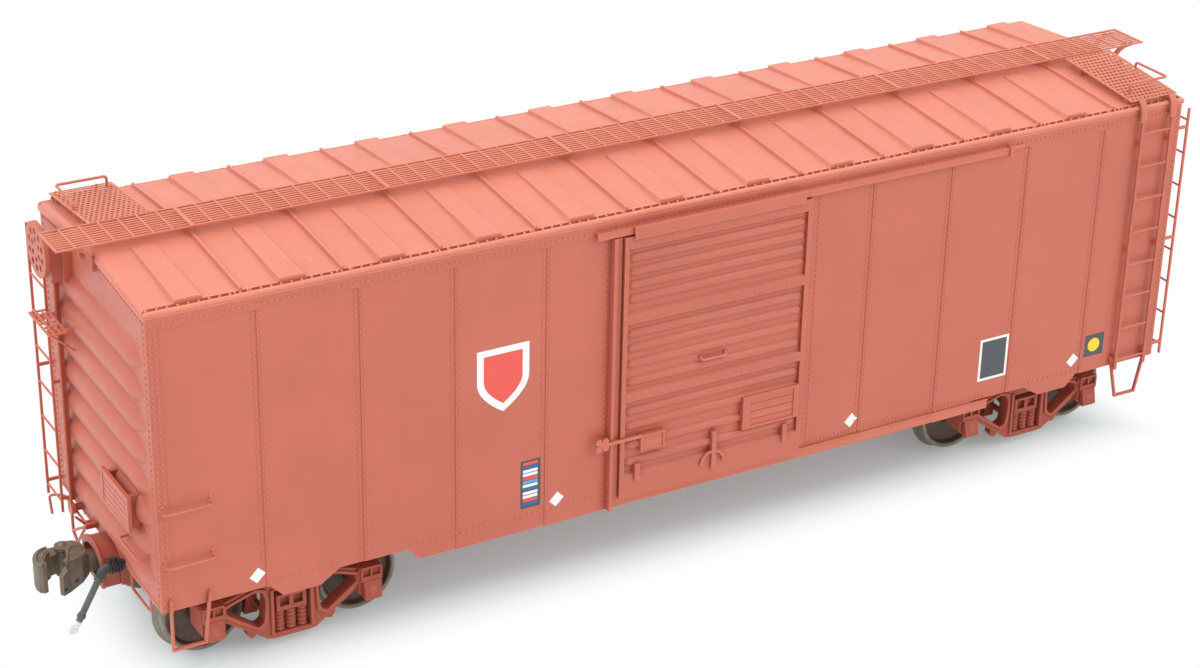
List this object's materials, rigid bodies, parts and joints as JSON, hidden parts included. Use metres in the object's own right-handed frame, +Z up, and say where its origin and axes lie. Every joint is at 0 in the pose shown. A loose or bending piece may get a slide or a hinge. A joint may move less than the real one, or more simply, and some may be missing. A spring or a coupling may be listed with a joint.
{
  "type": "railroad boxcar scale model",
  "caption": "Model railroad boxcar with riveted sides, sliding doors, corrugated ends, panel roof with grid running board, sprung-type trucks and knuckle couplers.",
  "frame": {"origin": "on the rail plane under the wheel flanges, at the middle of the car's length and width", "axes": "+X along the car away from the hand brake end, +Y to the far side, +Z up"},
  "size_m": [0.162, 0.0362, 0.0519],
  "materials": {
    "body_paint": "satin oxide red paint",
    "roof_paint": "satin oxide red paint",
    "walk_paint": "satin oxide red paint on etched metal",
    "trim_paint": "satin oxide red paint on wire",
    "underframe_paint": "satin oxide red paint",
    "truck_paint": "satin oxide red paint",
    "wheel_metal": "dark brown, worn tread",
    "axle_steel": "blackened",
    "coupler_metal": "flat rust brown",
    "hose_rubber": "matt",
    "ballast_steel": "plain",
    "deck_plastic": "matt"
  },
  "bodies": {
    "carbody": {"underframe_plate": "underframe_paint", "ballast_weight": "ballast_steel", "floor_deck": "deck_plastic", "centre_sill": "underframe_paint", "body_bolsters": "underframe_paint", "kingpins": "underframe_paint", "crossbearers": "underframe_paint", "train_line": "underframe_paint", "air_reservoir": "underframe_paint", "brake_cylinder": "underframe_paint", "control_valve": "underframe_paint", "brake_rods": "underframe_paint", "side_wall_near": "body_paint", "side_wall_far": "body_paint", "end_wall_brake": "body_paint", "end_wall_plain": "body_paint", "roof": "roof_paint", "running_board": "walk_paint", "running_board_saddles": "walk_paint", "lateral_walks": "walk_paint", "roof_grab_irons": "trim_paint", "side_ladders": "trim_paint", "end_ladders": "trim_paint", "grab_irons": "trim_paint", "sill_steps": "trim_paint", "brake_wheel": "trim_paint", "brake_gear_housing": "trim_paint", "brake_step": "walk_paint", "brake_rod": "trim_paint", "tack_boards": "body_paint", "uncoupling_levers": "trim_paint", "air_hoses": "hose_rubber", "coupler_pockets": "underframe_paint", "strikers": "underframe_paint", "door_tracks": "body_paint", "door_posts": "body_paint"},
    "door_near": {"door_near": "body_paint", "door_gear_near": "body_paint"},
    "door_far": {"door_far": "body_paint", "door_gear_far": "body_paint"},
    "truck_brake": {"truck_brake_sideframes": "truck_paint", "truck_brake_bolster": "truck_paint", "truck_brake_springs": "truck_paint", "truck_brake_brake_beams": "truck_paint"},
    "wheelset_1": {"axle_1": "axle_steel", "wheels_1": "wheel_metal"},
    "wheelset_2": {"axle_2": "axle_steel", "wheels_2": "wheel_metal"},
    "truck_plain": {"truck_plain_sideframes": "truck_paint", "truck_plain_bolster": "truck_paint", "truck_plain_springs": "truck_paint", "truck_plain_brake_beams": "truck_paint"},
    "wheelset_3": {"axle_3": "axle_steel", "wheels_3": "wheel_metal"},
    "wheelset_4": {"axle_4": "axle_steel", "wheels_4": "wheel_metal"},
    "coupler_brake": {"coupler_brake": "coupler_metal"},
    "knuckle_brake": {"knuckle_brake": "coupler_metal"},
    "coupler_plain": {"coupler_plain": "coupler_metal"},
    "knuckle_plain": {"knuckle_plain": "coupler_metal"}
  },
  "joints": [
    {"name": "door_near_slide", "type": "slide", "parent": "carbody", "child": "door_near", "axis": [1, 0, 0], "range_m": [0, 0.0275]},
    {"name": "door_far_slide", "type": "slide", "parent": "carbody", "child": "door_far", "axis": [-1, 0, 0], "range_m": [0, 0.0275]},
    {"name": "truck_brake_swivel", "type": "hinge", "parent": "carbody", "child": "truck_brake", "pos_m": [-0.05425, 0, 0.0093], "axis": [0, 0, 1], "range_deg": [-10, 10]},
    {"name": "wheelset_1_spin", "type": "hinge", "parent": "truck_brake", "child": "wheelset_1", "pos_m": [-0.06415, 0, 0.0056], "axis": [0, 1, 0], "continuous": true},
    {"name": "wheelset_2_spin", "type": "hinge", "parent": "truck_brake", "child": "wheelset_2", "pos_m": [-0.04435, 0, 0.0056], "axis": [0, 1, 0], "continuous": true},
    {"name": "truck_plain_swivel", "type": "hinge", "parent": "carbody", "child": "truck_plain", "pos_m": [0.05425, 0, 0.0093], "axis": [0, 0, 1], "range_deg": [-10, 10]},
    {"name": "wheelset_3_spin", "type": "hinge", "parent": "truck_plain", "child": "wheelset_3", "pos_m": [0.04435, 0, 0.0056], "axis": [0, 1, 0], "continuous": true},
    {"name": "wheelset_4_spin", "type": "hinge", "parent": "truck_plain", "child": "wheelset_4", "pos_m": [0.06415, 0, 0.0056], "axis": [0, 1, 0], "continuous": true},
    {"name": "coupler_brake_swing", "type": "hinge", "parent": "carbody", "child": "coupler_brake", "pos_m": [-0.066, 0, 0.01055], "axis": [0, 0, 1], "range_deg": [-10, 10], "stiffness_Nm_per_rad": 0.0005},
    {"name": "knuckle_brake_open", "type": "hinge", "parent": "coupler_brake", "child": "knuckle_brake", "pos_m": [-0.0769, 0.00175, 0.01055], "axis": [0, 0, -1], "range_deg": [0, 25], "stiffness_Nm_per_rad": 0.0002, "springref_deg": -11.46},
    {"name": "coupler_plain_swing", "type": "hinge", "parent": "carbody", "child": "coupler_plain", "pos_m": [0.066, 0, 0.01055], "axis": [0, 0, 1], "range_deg": [-10, 10], "stiffness_Nm_per_rad": 0.0005},
    {"name": "knuckle_plain_open", "type": "hinge", "parent": "coupler_plain", "child": "knuckle_plain", "pos_m": [0.0769, -0.00175, 0.01055], "axis": [0, 0, -1], "range_deg": [0, 25], "stiffness_Nm_per_rad": 0.0002, "springref_deg": -11.46}
  ]
}
